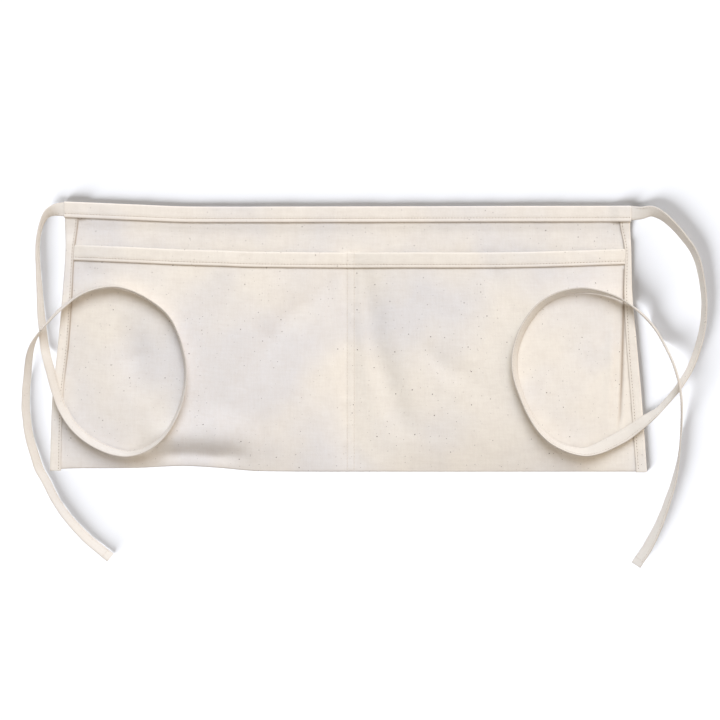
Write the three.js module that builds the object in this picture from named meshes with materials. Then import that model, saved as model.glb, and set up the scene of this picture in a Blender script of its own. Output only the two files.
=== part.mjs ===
// A carpenter's nail apron of natural cotton canvas, lying on its back with its two ties looped over it.
// Millimetres: X runs along the waist, +Y points to the waistband and +Z up from the surface.
// The origin is under the middle of the apron without its ties, on the surface.

import * as THREE from 'three';

// Driving dimensions
const apronWidth = 537; // along the bottom fold
const apronHeight = 238.5; // bottom fold to the waistband's top edge
const pocketHeight = 197; // bottom fold to the mouth, where both are lowest
const pocketBulge = 12; // rise of the pocket sheet at the fullest place
const bellyRoundness = 1.5; // 1 is a plain arch, more is flatter on top and steeper at its feet
const centreSeam = 2; // place of the seam between the pockets, from the middle
const seamWidth = 7; // its two rows of stitches hold the sheet down over this width
const waistbandWidth = 14; // the binding as folded
const pocketHemWidth = 13.5;
const sideHemWidth = 9.5;
const topLift = 4.4; // how far the waistband's left end stands above the rest
const mouthLift = 6.9; // the same for the pocket mouth's left end
const bottomLift = 5.1; // how far the bottom fold is drawn up on the left
const cloth = 1.2; // one layer of canvas
const layerGap = 0.3; // clearance between layers
const foldRadius = 1; // middle of the cloth in a pressed fold
const tightestFold = 0.8; // share of the fold's height that the radius may take
const tieWidth = 11;
const tieThickness = 1.6; // the tape is folded and stitched flat
const tieGap = 0.6; // clearance under a tie

// How finely each piece is divided
const columnsPerPocket = 20;
const bandColumns = 12;
const hemRows = 12;
const tieSteps = 78;
const probesPerStep = 4;
const columnEase = 0.07; // draws the columns towards the seam and the hems

// Edges along the waist: `along` is a share of apronWidth from the left, the others are shares of
// bottomLift, mouthLift and topLift.
const edges = [
  { along: 0.0, bottom: 0.3, mouth: 1.1, top: 1.0 },
  { along: 0.03, bottom: 0.55, mouth: 1.05, top: 1.0 },
  { along: 0.14, bottom: 0.64, mouth: 0.67, top: 0.45 },
  { along: 0.22, bottom: 1.0, mouth: 0.38, top: 0.05 },
  { along: 0.28, bottom: 0.7, mouth: 0.24, top: 0.0 },
  { along: 0.35, bottom: 0.1, mouth: 0.07, top: 0.0 },
  { along: 0.6, bottom: 0.0, mouth: 0.0, top: 0.06 },
  { along: 0.75, bottom: 0.0, mouth: 0.0, top: 0.12 },
  { along: 0.85, bottom: 0.0, mouth: 0.16, top: 0.14 },
  { along: 1.0, bottom: 0.0, mouth: 0.6, top: 0.16 },
];

// Side edges: `up` is a share of apronHeight, left and right are shares of half of apronWidth,
// hemLeft and hemRight are shares of sideHemWidth.
const sides = [
  { up: 0.0, left: 1.0, right: 1.0, hemLeft: 1.0, hemRight: 1.0 },
  { up: 0.28, left: 0.992, right: 0.982, hemLeft: 0.97, hemRight: 1.0 },
  { up: 0.48, left: 0.973, right: 0.966, hemLeft: 1.0, hemRight: 0.95 },
  { up: 0.67, left: 0.958, right: 0.951, hemLeft: 0.9, hemRight: 0.75 },
  { up: 0.84, left: 0.948, right: 0.947, hemLeft: 0.85, hemRight: 0.62 },
  { up: 0.93, left: 0.95, right: 0.944, hemLeft: 1.2, hemRight: 0.95 },
  { up: 1.0, left: 0.95, right: 0.944, hemLeft: 1.35, hemRight: 1.0 },
];

// Rise of the pocket sheet from the bottom fold (0) to the mouth (1), as a share of pocketBulge
const pocketRise = [
  { up: 0.0, rise: 0.06 },
  { up: 0.05, rise: 0.3 },
  { up: 0.15, rise: 0.66 },
  { up: 0.35, rise: 0.95 },
  { up: 0.55, rise: 1.0 },
  { up: 0.8, rise: 0.9 },
  { up: 1.0, rise: 0.8 },
];

// Soft folds of the pocket sheet, each a ridge (+) or dent (-) along a line. Places are shares of
// apronWidth and pocketHeight, reach is a share of pocketHeight and rise one of pocketBulge.
const pocketFolds = [
  { fold: 'slant beside the seam', x1: 0.52, y1: 0.88, x2: 0.59, y2: 0.16, reach: 0.07, rise: -0.16 },
  { fold: 'left of the seam', x1: 0.457, y1: 0.9, x2: 0.37, y2: 0.61, reach: 0.08, rise: -0.1 },
  { fold: 'roll above the drawn fold', x1: 0.2, y1: 0.17, x2: 0.34, y2: 0.15, reach: 0.07, rise: 0.14 },
  { fold: 'right side tuck', x1: 0.962, y1: 0.78, x2: 0.952, y2: 0.22, reach: 0.035, rise: 0.12 },
  { fold: 'left side tuck', x1: 0.06, y1: 0.97, x2: 0.045, y2: 0.6, reach: 0.035, rise: 0.12 },
];

// Routes of the ties, from the waistband's end to the free end. Lean is the angle between the tape
// and the surface in degrees, and width is a share of tieWidth.
const leftTieRoute = [
  { x: -255.5, y: 114.6, lean: 0, width: 1.25 },
  { x: -262, y: 114.5, lean: 15, width: 1.2 },
  { x: -270.5, y: 111, lean: 36, width: 1.1 },
  { x: -276.3, y: 103.2, lean: 52, width: 1 },
  { x: -279.6, y: 87, lean: 60, width: 1 },
  { x: -279.4, y: 67, lean: 60, width: 1 },
  { x: -277.6, y: 42, lean: 56, width: 1 },
  { x: -275.7, y: 15.6, lean: 52, width: 1 },
  { x: -272.4, y: -12, lean: 50, width: 1 },
  { x: -267.3, y: -31, lean: 50, width: 1 },
  { x: -262.2, y: -50, lean: 50, width: 1 },
  { x: -254.3, y: -69.2, lean: 50, width: 1 },
  { x: -240.7, y: -86.3, lean: 50, width: 1 },
  { x: -221.9, y: -98.6, lean: 52, width: 1 },
  { x: -200.3, y: -105, lean: 58, width: 1 },
  { x: -181, y: -101, lean: 68, width: 1 },
  { x: -163.5, y: -87, lean: 76, width: 1 },
  { x: -151.3, y: -65, lean: 78, width: 1 },
  { x: -145.3, y: -37, lean: 78, width: 1 },
  { x: -149, y: -8, lean: 78, width: 1 },
  { x: -160.7, y: 17.8, lean: 76, width: 1 },
  { x: -179.8, y: 33.8, lean: 72, width: 1 },
  { x: -201.6, y: 43.2, lean: 68, width: 1 },
  { x: -214.7, y: 44.8, lean: 66, width: 1 },
  { x: -231.8, y: 41.6, lean: 66, width: 1 },
  { x: -244.8, y: 35.2, lean: 70, width: 1 },
  { x: -258.2, y: 24.6, lean: 74, width: 1 },
  { x: -271, y: 10.8, lean: 68, width: 1 },
  { x: -279.5, y: -0.5, lean: 66, width: 1 },
  { x: -285.2, y: -14, lean: 62, width: 1 },
  { x: -288.9, y: -39, lean: 58, width: 1 },
  { x: -289.8, y: -66, lean: 56, width: 1 },
  { x: -286.6, y: -91, lean: 54, width: 1 },
  { x: -281.7, y: -106.6, lean: 52, width: 1 },
  { x: -277.4, y: -119.4, lean: 50, width: 1 },
  { x: -271.5, y: -130.1, lean: 50, width: 1 },
  { x: -261.4, y: -149.6, lean: 50, width: 1 },
  { x: -249.3, y: -166.1, lean: 48, width: 1 },
  { x: -234.9, y: -181.4, lean: 42, width: 1 },
  { x: -214.3, y: -198.2, lean: 38, width: 1 },
];
const rightTieRoute = [
  { x: 253.9, y: 111.2, lean: 0, width: 1.25 },
  { x: 262.5, y: 111.4, lean: 12, width: 1.12 },
  { x: 272.3, y: 112.8, lean: 36, width: 1 },
  { x: 281.3, y: 108.9, lean: 54, width: 1 },
  { x: 290.3, y: 101.4, lean: 62, width: 1 },
  { x: 300.2, y: 90.6, lean: 64, width: 1 },
  { x: 311.3, y: 74.4, lean: 64, width: 1 },
  { x: 317, y: 54.6, lean: 64, width: 1 },
  { x: 319.6, y: 33, lean: 64, width: 1 },
  { x: 318.8, y: 13.2, lean: 62, width: 1 },
  { x: 315.4, y: -4.8, lean: 62, width: 1 },
  { x: 306, y: -30, lean: 62, width: 1 },
  { x: 296.1, y: -45.7, lean: 60, width: 1 },
  { x: 279.5, y: -65, lean: 58, width: 1 },
  { x: 265.1, y: -76, lean: 34, width: 1.05 },
  { x: 244.4, y: -90.3, lean: 8, width: 1.1 },
  { x: 226.4, y: -99.3, lean: 18, width: 1.05 },
  { x: 212, y: -103.4, lean: 44, width: 1 },
  { x: 190.4, y: -98.4, lean: 60, width: 1 },
  { x: 172.4, y: -84.9, lean: 62, width: 1 },
  { x: 157, y: -58.8, lean: 64, width: 1 },
  { x: 148.2, y: -25.5, lean: 60, width: 1 },
  { x: 153.4, y: 1.5, lean: 58, width: 1 },
  { x: 168.4, y: 25, lean: 58, width: 1 },
  { x: 185.9, y: 36.8, lean: 60, width: 1 },
  { x: 207.5, y: 41.5, lean: 60, width: 1 },
  { x: 230.9, y: 38.5, lean: 68, width: 1 },
  { x: 251.2, y: 29.6, lean: 74, width: 1 },
  { x: 273.8, y: 9.6, lean: 78, width: 1 },
  { x: 288.3, y: -16.8, lean: 78, width: 1 },
  { x: 294.8, y: -36, lean: 76, width: 1 },
  { x: 297.6, y: -49.8, lean: 76, width: 1 },
  { x: 299, y: -78.6, lean: 80, width: 1 },
  { x: 297, y: -105.6, lean: 78, width: 1 },
  { x: 292.5, y: -129.9, lean: 70, width: 1 },
  { x: 287, y: -147, lean: 64, width: 1 },
  { x: 282.4, y: -160.5, lean: 58, width: 1 },
  { x: 270.8, y: -186, lean: 44, width: 1 },
  { x: 258.6, y: -204.8, lean: 40, width: 1 },
];

const { clamp, lerp, smoothstep, degToRad } = THREE.MathUtils;

// A smooth curve through one column of a table
function tableValue(rows, key, at, column) {
  const last = rows.length - 1;
  const slope = (i) => {
    const before = rows[Math.max(i - 1, 0)];
    const after = rows[Math.min(i + 1, last)];
    return (after[column] - before[column]) / (after[key] - before[key]);
  };
  let i = 0;
  while (i < last - 1 && at > rows[i + 1][key]) i += 1;
  const span = rows[i + 1][key] - rows[i][key];
  const t = clamp((at - rows[i][key]) / span, 0, 1);
  const rest = 1 - t;
  const ends = rest * rest * (1 + 2 * t) * rows[i][column] + t * t * (3 - 2 * t) * rows[i + 1][column];
  return ends + span * t * rest * (rest * slope(i) - t * slope(i + 1));
}

// The apron's outline
const bottomLine = -(apronHeight + topLift) / 2;
const edgeTable = (x, column) => tableValue(edges, 'along', x / apronWidth + 0.5, column);
const sideTable = (y, column) => tableValue(sides, 'up', (y - bottomLine) / apronHeight, column);
const bottomEdge = (x) => bottomLine + bottomLift * edgeTable(x, 'bottom');
const mouthEdge = (x) => bottomLine + pocketHeight + mouthLift * edgeTable(x, 'mouth');
const topEdge = (x) => bottomLine + apronHeight + topLift * edgeTable(x, 'top');
const leftEdge = (y) => (-apronWidth / 2) * sideTable(y, 'left');
const rightEdge = (y) => (apronWidth / 2) * sideTable(y, 'right');
const leftHemInside = (y) => leftEdge(y) + sideHemWidth * sideTable(y, 'hemLeft');
const rightHemInside = (y) => rightEdge(y) - sideHemWidth * sideTable(y, 'hemRight');

// Heights of the layers. The waistband's back layer lifts the cloth that it holds.
const layer = cloth + layerGap; // also where a layer stops inside a fold
const liftRun = 10; // length of the slope up to the waistband
const bandLift = (x, y) => {
  const bandFoot = topEdge(x) - waistbandWidth - layerGap;
  return layer * smoothstep(y, bandFoot - liftRun, bandFoot);
};
const backMiddle = (x, y) => cloth / 2 + bandLift(x, y);

function foldHeight(x, y) {
  let height = 0;
  for (const fold of pocketFolds) {
    const start = new THREE.Vector2((fold.x1 - 0.5) * apronWidth, bottomLine + fold.y1 * pocketHeight);
    const end = new THREE.Vector2((fold.x2 - 0.5) * apronWidth, bottomLine + fold.y2 * pocketHeight);
    const line = end.clone().sub(start);
    const offset = new THREE.Vector2(x, y).sub(start);
    const share = clamp(offset.dot(line) / line.lengthSq(), 0, 1);
    const away = offset.sub(line.multiplyScalar(share)).length() / (fold.reach * pocketHeight);
    height += fold.rise * pocketBulge * Math.exp(-away * away);
  }
  return height;
}

const heldSides = 0.35; // share of the belly below which the folds fade to the seam and the hems
const heldBottom = 0.1; // share of the height over which they fade to the bottom fold
function pocketMiddle(x, y) {
  const fromHem = x < centreSeam ? x - leftHemInside(y) : rightHemInside(y) - x;
  const fromSeam = Math.abs(x - centreSeam) - seamWidth / 2;
  const across = clamp(fromHem / (fromHem + fromSeam), 0, 1);
  const belly = 1 - (1 - 4 * across * (1 - across)) ** bellyRoundness;
  const bottom = bottomEdge(x);
  const up = clamp((y - bottom) / (mouthEdge(x) - bottom), 0, 1);
  const rise = pocketBulge * tableValue(pocketRise, 'up', up, 'rise');
  const free = smoothstep(belly, 0, heldSides) * smoothstep(up, 0, heldBottom);
  return layer + cloth / 2 + Math.max(rise * belly + free * foldHeight(x, y), 0);
}

const pocketHemMiddle = (x, y) => pocketMiddle(x, y) + layer;

// The side hems lie over the pocket sheet, and over the back panel alone above the mouth
function sideHemMiddle(x, y) {
  const overPocket = 1 - smoothstep(y, mouthEdge(x) + layerGap, mouthEdge(x) + liftRun);
  return backMiddle(x, y) + layer + layer * overPocket;
}

// The waistband's front layer also lies over the ends of the side hems
function waistbandMiddle(x, y) {
  const inside = Math.min(x - leftHemInside(y), rightHemInside(y) - x);
  const overHem = 1 - smoothstep(inside, 0, liftRun);
  return cloth / 2 + 2 * layer + layer * overHem;
}

// Top of whatever lies at a place: the surface that a tie rests on
function topAt(x, y) {
  if (y < bottomEdge(x) || y > topEdge(x) || x < leftEdge(y) || x > rightEdge(y)) return 0;
  if (y > topEdge(x) - waistbandWidth) return waistbandMiddle(x, y) + cloth / 2;
  if (x < leftHemInside(y) || x > rightHemInside(y)) return sideHemMiddle(x, y) + cloth / 2;
  if (y > mouthEdge(x)) return backMiddle(x, y) + cloth / 2;
  if (y > mouthEdge(x) - pocketHemWidth) return pocketHemMiddle(x, y) + cloth / 2;
  return pocketMiddle(x, y) + cloth / 2;
}

// The middle line of a pressed fold, from a layer at `height` to a wall at `edge` that ends at `foot`.
// `inward` is +1 where the layer lies on the positive side of the edge.
function pressedFold(edge, inward, height, foot) {
  const radius = Math.min(foldRadius, tightestFold * (height - foot));
  const line = [];
  for (const degrees of [90, 60, 30, 0]) {
    const turn = degToRad(degrees);
    const across = edge + inward * (cloth / 2 + radius * (1 - Math.cos(turn)));
    line.push([across, height - radius * (1 - Math.sin(turn))]);
  }
  line.push([edge + (inward * cloth) / 2, foot]);
  return line;
}

// Both faces of a layer whose middle line is given in one plane
function bothFaces(line, thickness, place) {
  return line.map(([across, height], i) => {
    const before = line[Math.max(i - 1, 0)];
    const after = line[Math.min(i + 1, line.length - 1)];
    const run = new THREE.Vector2(after[0] - before[0], after[1] - before[1]).normalize();
    const aside = new THREE.Vector2(-run.y, run.x).multiplyScalar(thickness / 2);
    return [place(across + aside.x, height + aside.y), place(across - aside.x, height - aside.y)];
  });
}

// A closed body through stations. Each station is a row of pairs: a point on the one face of the
// cloth and the point behind it on the other face.
function clothMesh(name, stations) {
  const pairs = stations[0].length;
  const ring = 2 * pairs;
  const points = [];
  for (const station of stations) {
    for (const [over] of station) points.push(over);
    for (const [, under] of [...station].reverse()) points.push(under);
  }
  const faces = [];
  const quad = (a, b, c, d) => faces.push([a, b, c], [a, c, d]);
  for (let s = 0; s < stations.length - 1; s += 1) {
    for (let i = 0; i < ring; i += 1) {
      const next = (i + 1) % ring;
      quad(s * ring + i, s * ring + next, (s + 1) * ring + next, (s + 1) * ring + i);
    }
  }
  const last = (stations.length - 1) * ring;
  for (let i = 0; i < pairs - 1; i += 1) {
    const under = ring - 1 - i;
    quad(i, under, under - 1, i + 1);
    quad(last + i, last + i + 1, last + under - 1, last + under);
  }
  let volume = 0;
  for (const [a, b, c] of faces) {
    volume += points[a].dot(new THREE.Vector3().crossVectors(points[b], points[c]));
  }
  const outward = volume > 0 ? faces : faces.map(([a, b, c]) => [a, c, b]);
  const geometry = new THREE.BufferGeometry().setFromPoints(points);
  geometry.setIndex(outward.flat());
  geometry.computeVertexNormals();
  const canvas = new THREE.MeshStandardMaterial({ color: 0xece4da, roughness: 0.92, metalness: 0 });
  const mesh = new THREE.Mesh(geometry, canvas);
  mesh.name = name;
  return mesh;
}

// Columns run up the apron, each a function from y to x. The pockets' columns run from the hems'
// inner edges to the centre seam, closer at both ends.
function pocketColumns() {
  const left = [];
  const right = [];
  for (let i = 0; i <= columnsPerPocket; i += 1) {
    const even = i / columnsPerPocket;
    const share = even - columnEase * Math.sin(2 * Math.PI * even);
    left.push((y) => lerp(leftHemInside(y) + layerGap, centreSeam - seamWidth / 2, share));
    right.push((y) => lerp(centreSeam + seamWidth / 2, rightHemInside(y) - layerGap, share));
  }
  return [...left, ...right];
}

// The two panels also reach under the side hems
function panelColumns() {
  const leftFlange = (y) => leftEdge(y) + layer;
  const rightFlange = (y) => rightEdge(y) - layer;
  return [leftFlange, ...pocketColumns(), rightFlange];
}

// A piece with a station at each column. The section gives the cloth's middle line in Y and Z.
function acrossApron(name, columns, section) {
  const stations = columns.map((columnX) => {
    const place = (y, z) => new THREE.Vector3(columnX(y), y, z);
    return bothFaces(section(columnX), cloth, place);
  });
  return clothMesh(name, stations);
}

// Rows of the slope up to the waistband, which the cloth layers there share
const slopeRows = (top) => [1, 0.7, 0.4, 0.2, 0].map((down) => {
  return top - waistbandWidth - layerGap - down * liftRun;
});

function backPanel() {
  const rows = [0, 0.12, 0.24, 0.35, 0.46, 0.56, 0.66, 0.75, 0.83];
  return acrossApron('back_panel', panelColumns(), (columnX) => {
    const bottom = bottomEdge(columnX(bottomLine)) + layer;
    const top = topEdge(columnX(bottomLine + apronHeight));
    const places = rows.map((share) => lerp(bottom, top, share));
    places.push(...slopeRows(top), top - layer);
    return places.map((y) => [y, backMiddle(columnX(y), y)]);
  });
}

function pocketPanel() {
  const rows = [1, 0.93, 0.86, 0.78, 0.7, 0.61, 0.52, 0.43, 0.34, 0.26, 0.19, 0.13, 0.08, 0.04];
  return acrossApron('pocket_panel', panelColumns(), (columnX) => {
    const bottom = bottomEdge(columnX(bottomLine));
    const mouth = mouthEdge(columnX(bottomLine + pocketHeight)) - layer;
    const line = rows.map((share) => {
      const y = lerp(bottom, mouth, share);
      return [y, pocketMiddle(columnX(y), y)];
    });
    return [...line, ...pressedFold(bottom, 1, pocketMiddle(columnX(bottom), bottom), 0)];
  });
}

function pocketHem() {
  const rows = [1, 0.75, 0.5, 0.25];
  return acrossApron('pocket_hem', pocketColumns(), (columnX) => {
    const mouth = mouthEdge(columnX(bottomLine + pocketHeight));
    const line = rows.map((down) => {
      const y = mouth - down * pocketHemWidth;
      return [y, pocketHemMiddle(columnX(y), y)];
    });
    const height = pocketHemMiddle(columnX(mouth), mouth);
    return [...line, ...pressedFold(mouth, -1, height, height - layer - cloth / 2)];
  });
}

function sideHem(name, inward, edgeAt, insideAt) {
  const bottom = bottomEdge(edgeAt(bottomLine));
  const mouth = mouthEdge(edgeAt(bottomLine + pocketHeight));
  const atTop = bottomLine + apronHeight;
  const top = Math.min(topEdge(edgeAt(atTop)), topEdge(insideAt(atTop)));
  const rows = [];
  for (let i = 0; i <= hemRows; i += 1) rows.push(lerp(bottom, mouth + layerGap, i / hemRows));
  for (const share of [0.25, 0.5, 0.75]) rows.push(lerp(mouth + layerGap, mouth + liftRun, share));
  rows.push(...slopeRows(top), top - layer);
  const stations = rows.map((y) => {
    const edge = edgeAt(y);
    const height = sideHemMiddle(edge, y);
    const line = [[insideAt(y), height], ...pressedFold(edge, inward, height, bandLift(edge, y))];
    return bothFaces(line, cloth, (x, z) => new THREE.Vector3(x, y, z));
  });
  return clothMesh(name, stations);
}

function waistband() {
  const leftSteps = [0, 0.5, 1].map((share) => (y) => lerp(leftEdge(y), leftHemInside(y), share));
  const rightSteps = [1, 0.5, 0].map((share) => (y) => lerp(rightEdge(y), rightHemInside(y), share));
  const middle = [];
  for (let i = 0; i <= bandColumns; i += 1) {
    const share = i / bandColumns;
    middle.push((y) => lerp(leftHemInside(y) + liftRun, rightHemInside(y) - liftRun, share));
  }
  return acrossApron('waistband', [...leftSteps, ...middle, ...rightSteps], (columnX) => {
    const top = topEdge(columnX(bottomLine + apronHeight));
    const foot = top - waistbandWidth;
    const front = waistbandMiddle(columnX(top), top);
    const line = [[foot, front], [top - waistbandWidth / 2, front]];
    line.push(...pressedFold(top, -1, front, front / 2));
    line.push(...pressedFold(top, -1, -cloth / 2, -front / 2).reverse().slice(1).map(([y, z]) => [y, -z]));
    return [...line, [foot, cloth / 2]];
  });
}

// Probes along a tie: its place, the direction across it, and the height that it needs to lie clear
function tieProbes(route) {
  const path = route.map((row) => new THREE.Vector3(row.x, row.y, 0));
  const curve = new THREE.CatmullRomCurve3(path, false, 'centripetal');
  const count = tieSteps * probesPerStep;
  curve.arcLengthDivisions = 4 * count;
  const length = curve.getLength();
  const probes = [];
  for (let i = 0; i <= count; i += 1) {
    const share = i / count;
    const place = curve.getUtoTmapping(share) * (route.length - 1);
    const row = Math.min(Math.floor(place), route.length - 2);
    const column = (name) => lerp(route[row][name], route[row + 1][name], place - row);
    const along = curve.getTangentAt(share);
    const lean = degToRad(column('lean'));
    const halfWidth = (column('width') * tieWidth) / 2;
    probes.push({
      at: curve.getPointAt(share),
      left: new THREE.Vector3(-along.y, along.x, 0),
      run: share * length,
      lean,
      halfWidth,
      reach: halfWidth * Math.cos(lean) + (tieThickness / 2) * Math.sin(lean),
      rise: halfWidth * Math.sin(lean) + (tieThickness / 2) * Math.cos(lean),
    });
  }
  return probes;
}

// The height of the tape's middle at each probe: it lies on what is under it, starts at the
// waistband's end, climbs no steeper than tieSlope and passes over its own earlier part.
const tieSlope = 0.4;
const ownCrossing = 6 * tieWidth; // parts of a tie nearer along it than this don't cross
const acrossTie = [-1, -0.8, -0.6, -0.4, -0.2, 0, 0.2, 0.4, 0.6, 0.8, 1];
function tieHeights(probes, side, startHeight) {
  const need = probes.map((probe) => {
    let height = probe.rise;
    for (const across of acrossTie) {
      const spot = probe.at.clone().addScaledVector(probe.left, across * probe.reach);
      const edgeDrop = side * across * probe.halfWidth * Math.sin(probe.lean);
      const halfLayer = (tieThickness / 2) * Math.cos(probe.lean);
      height = Math.max(height, topAt(spot.x, spot.y) + tieGap + halfLayer - edgeDrop);
    }
    return height;
  });
  need[0] = startHeight;
  const settle = () => probes.map((probe) => {
    let height = 0;
    probes.forEach((other, j) => {
      const apart = Math.max(Math.abs(other.run - probe.run) - tieWidth, 0);
      height = Math.max(height, need[j] - tieSlope * apart);
    });
    return height;
  });
  const first = settle();
  probes.forEach((probe, i) => {
    for (let j = 0; j < i; j += 1) {
      const earlier = probes[j];
      const near = probe.at.distanceTo(earlier.at) < probe.reach + earlier.reach + tieGap;
      if (near && probe.run - earlier.run > ownCrossing) {
        need[i] = Math.max(need[i], first[j] + earlier.rise + tieGap + probe.rise);
      }
    }
  });
  return settle();
}

// A tie is a flat tape. `side` is +1 where the tape's left edge is the raised one.
function tie(name, route, side, startHeight) {
  const probes = tieProbes(route);
  const heights = tieHeights(probes, side, startHeight);
  const section = [
    { across: -1, thick: 0.45 },
    { across: -0.82, thick: 1 },
    { across: 0.82, thick: 1 },
    { across: 1, thick: 0.45 },
  ];
  const stations = [];
  for (let i = 0; i < probes.length; i += probesPerStep) {
    const { at, left, lean, halfWidth } = probes[i];
    const middle = new THREE.Vector3(at.x, at.y, heights[i]);
    const wide = left.clone().multiplyScalar(Math.cos(lean));
    wide.z = side * Math.sin(lean);
    const face = left.clone().multiplyScalar(-side * Math.sin(lean));
    face.z = Math.cos(lean);
    stations.push(section.map(({ across, thick }) => {
      const spot = middle.clone().addScaledVector(wide, across * halfWidth);
      const half = (thick * tieThickness) / 2;
      return [spot.clone().addScaledVector(face, half), spot.clone().addScaledVector(face, -half)];
    }));
  }
  return clothMesh(name, stations);
}

const tieStart = cloth / 2 + layer; // middle of the waistband's end
const apron = new THREE.Group();
apron.add(backPanel());
apron.add(pocketPanel());
apron.add(pocketHem());
apron.add(sideHem('side_hem_left', 1, leftEdge, leftHemInside));
apron.add(sideHem('side_hem_right', -1, rightEdge, rightHemInside));
apron.add(waistband());
apron.add(tie('tie_left', leftTieRoute, -1, tieStart));
apron.add(tie('tie_right', rightTieRoute, 1, tieStart));

export default apron;
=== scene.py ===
import math

import bpy
import numpy as np
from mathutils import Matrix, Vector
from mathutils.bvhtree import BVHTree


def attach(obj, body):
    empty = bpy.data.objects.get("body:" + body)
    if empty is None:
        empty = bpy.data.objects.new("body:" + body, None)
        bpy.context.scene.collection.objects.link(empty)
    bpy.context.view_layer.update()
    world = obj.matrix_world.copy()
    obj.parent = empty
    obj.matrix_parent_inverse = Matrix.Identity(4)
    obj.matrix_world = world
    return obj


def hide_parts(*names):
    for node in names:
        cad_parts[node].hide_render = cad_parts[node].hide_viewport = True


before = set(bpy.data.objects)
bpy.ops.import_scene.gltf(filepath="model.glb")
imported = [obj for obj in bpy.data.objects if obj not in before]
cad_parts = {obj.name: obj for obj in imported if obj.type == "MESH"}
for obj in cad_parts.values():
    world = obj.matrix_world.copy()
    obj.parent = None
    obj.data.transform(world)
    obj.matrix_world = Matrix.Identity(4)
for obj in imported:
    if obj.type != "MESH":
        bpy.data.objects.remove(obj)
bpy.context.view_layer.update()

# A canvas nail apron lying on a pale floor, seen from straight above.
# All lengths are in metres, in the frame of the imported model: X along the waist, +Y to the waistband.

view = {
    "middle": (0.01035, -0.02097),  # what the middle of the picture looks at
    "height": 3.0,
    "span": 0.648,  # width of the floor that the picture takes in
    "sensor": 36.0,
}

# where each light comes from, its power, its spread in degrees and its colour
suns = {
    # soft key from beyond the waistband
    "keyLight": ((0.06, 0.60, 0.79), 2.2, 40, "#E8F1FF"),
    # very broad fill from the right, so that shadows on the cloth stay warm
    "fillLight": ((0.75, 0.20, 0.63), 0.75, 80, "#FFE9D2"),
    # low light that draws the long soft shadow of the cloth's edges
    "edgeLight": ((-0.66, -0.69, 0.22), 2.8, 28, "#FFFFFF"),
    # higher light that lets ties and edges shade the floor
    "floorLight": ((-0.52, -0.62, 0.40), 4.4, 30, "#FFFFFF"),
}
floorSuns = ("edgeLight", "floorLight")  # these reach the floor alone, and the others leave it out

ground = {
    "colour": "#EFF3FB",
    "halfWidth": 3.0,
    "roomColour": "#FFF5E9",
    "roomPower": 0.38,
}


def linearColour(hexCode):
    channels = [int(hexCode[i:i + 2], 16) / 255 for i in (1, 3, 5)]
    return [c / 12.92 if c <= 0.04045 else ((c + 0.055) / 1.055) ** 2.4 for c in channels] + [1.0]


def addNode(tree, kind, settings):
    # A setting is the node's own option, a socket's value or the output that is linked into the socket
    node = tree.nodes.new(kind)
    for name, value in settings.items():
        if isinstance(value, bpy.types.NodeSocket):
            tree.links.new(value, node.inputs[name])
        elif isinstance(name, int) or name in node.inputs:
            node.inputs[name].default_value = value
        else:
            setattr(node, name, value)
    return node.outputs


def addObject(name, data):
    thing = bpy.data.objects.new(name, data)
    bpy.context.scene.collection.objects.link(thing)
    return thing


def newMaterial(name):
    material = bpy.data.materials.new(name)
    material.use_nodes = True
    material.node_tree.nodes.clear()
    return material, material.node_tree


def addCamera():
    camera = addObject("camera", bpy.data.cameras.new("camera"))
    camera.location = (*view["middle"], view["height"])
    camera.data.sensor_width = view["sensor"]
    camera.data.lens = view["sensor"] * view["height"] / view["span"]
    camera.data.clip_end = 20
    bpy.context.scene.camera = camera


def addStudio():
    # Matt white board: even, without grain or gloss
    material, tree = newMaterial("mattWhiteBoard")
    shader = addNode(tree, "ShaderNodeBsdfPrincipled", {
        "Base Color": linearColour(ground["colour"]), "Roughness": 0.85, "Specular IOR Level": 0.1})
    addNode(tree, "ShaderNodeOutputMaterial", {"Surface": shader[0]})
    half = ground["halfWidth"]
    corners = [(-half, -half, 0), (half, -half, 0), (half, half, 0), (-half, half, 0)]
    mesh = bpy.data.meshes.new("floor")
    mesh.from_pydata(corners, [], [(0, 1, 2, 3)])
    mesh.materials.append(material)
    floor = addObject("floor", mesh)

    lamps = {}
    for name, (comesFrom, power, spread, colour) in suns.items():
        sun = addObject(name, bpy.data.lights.new(name, "SUN"))
        sun.data.energy = power
        sun.data.angle = math.radians(spread)
        sun.data.color = linearColour(colour)[:3]
        sun.location = Vector(comesFrom) * 2
        sun.rotation_euler = Vector(comesFrom).to_track_quat("Z", "Y").to_euler()
        group = bpy.data.collections.new(name + "Floor")
        group.objects.link(floor)
        group.collection_objects[0].light_linking.link_state = "INCLUDE" if name in floorSuns else "EXCLUDE"
        sun.light_linking.receiver_collection = group
        lamps[name] = sun

    world = bpy.data.worlds.new("room")
    world.use_nodes = True
    backdrop = world.node_tree.nodes["Background"]
    backdrop.inputs["Color"].default_value = linearColour(ground["roomColour"])
    backdrop.inputs["Strength"].default_value = ground["roomPower"]
    bpy.context.scene.world = world
    bpy.context.scene.view_settings.view_transform = "Standard"
    return lamps


addCamera()
lamps = addStudio()
print("stage ready")


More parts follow.
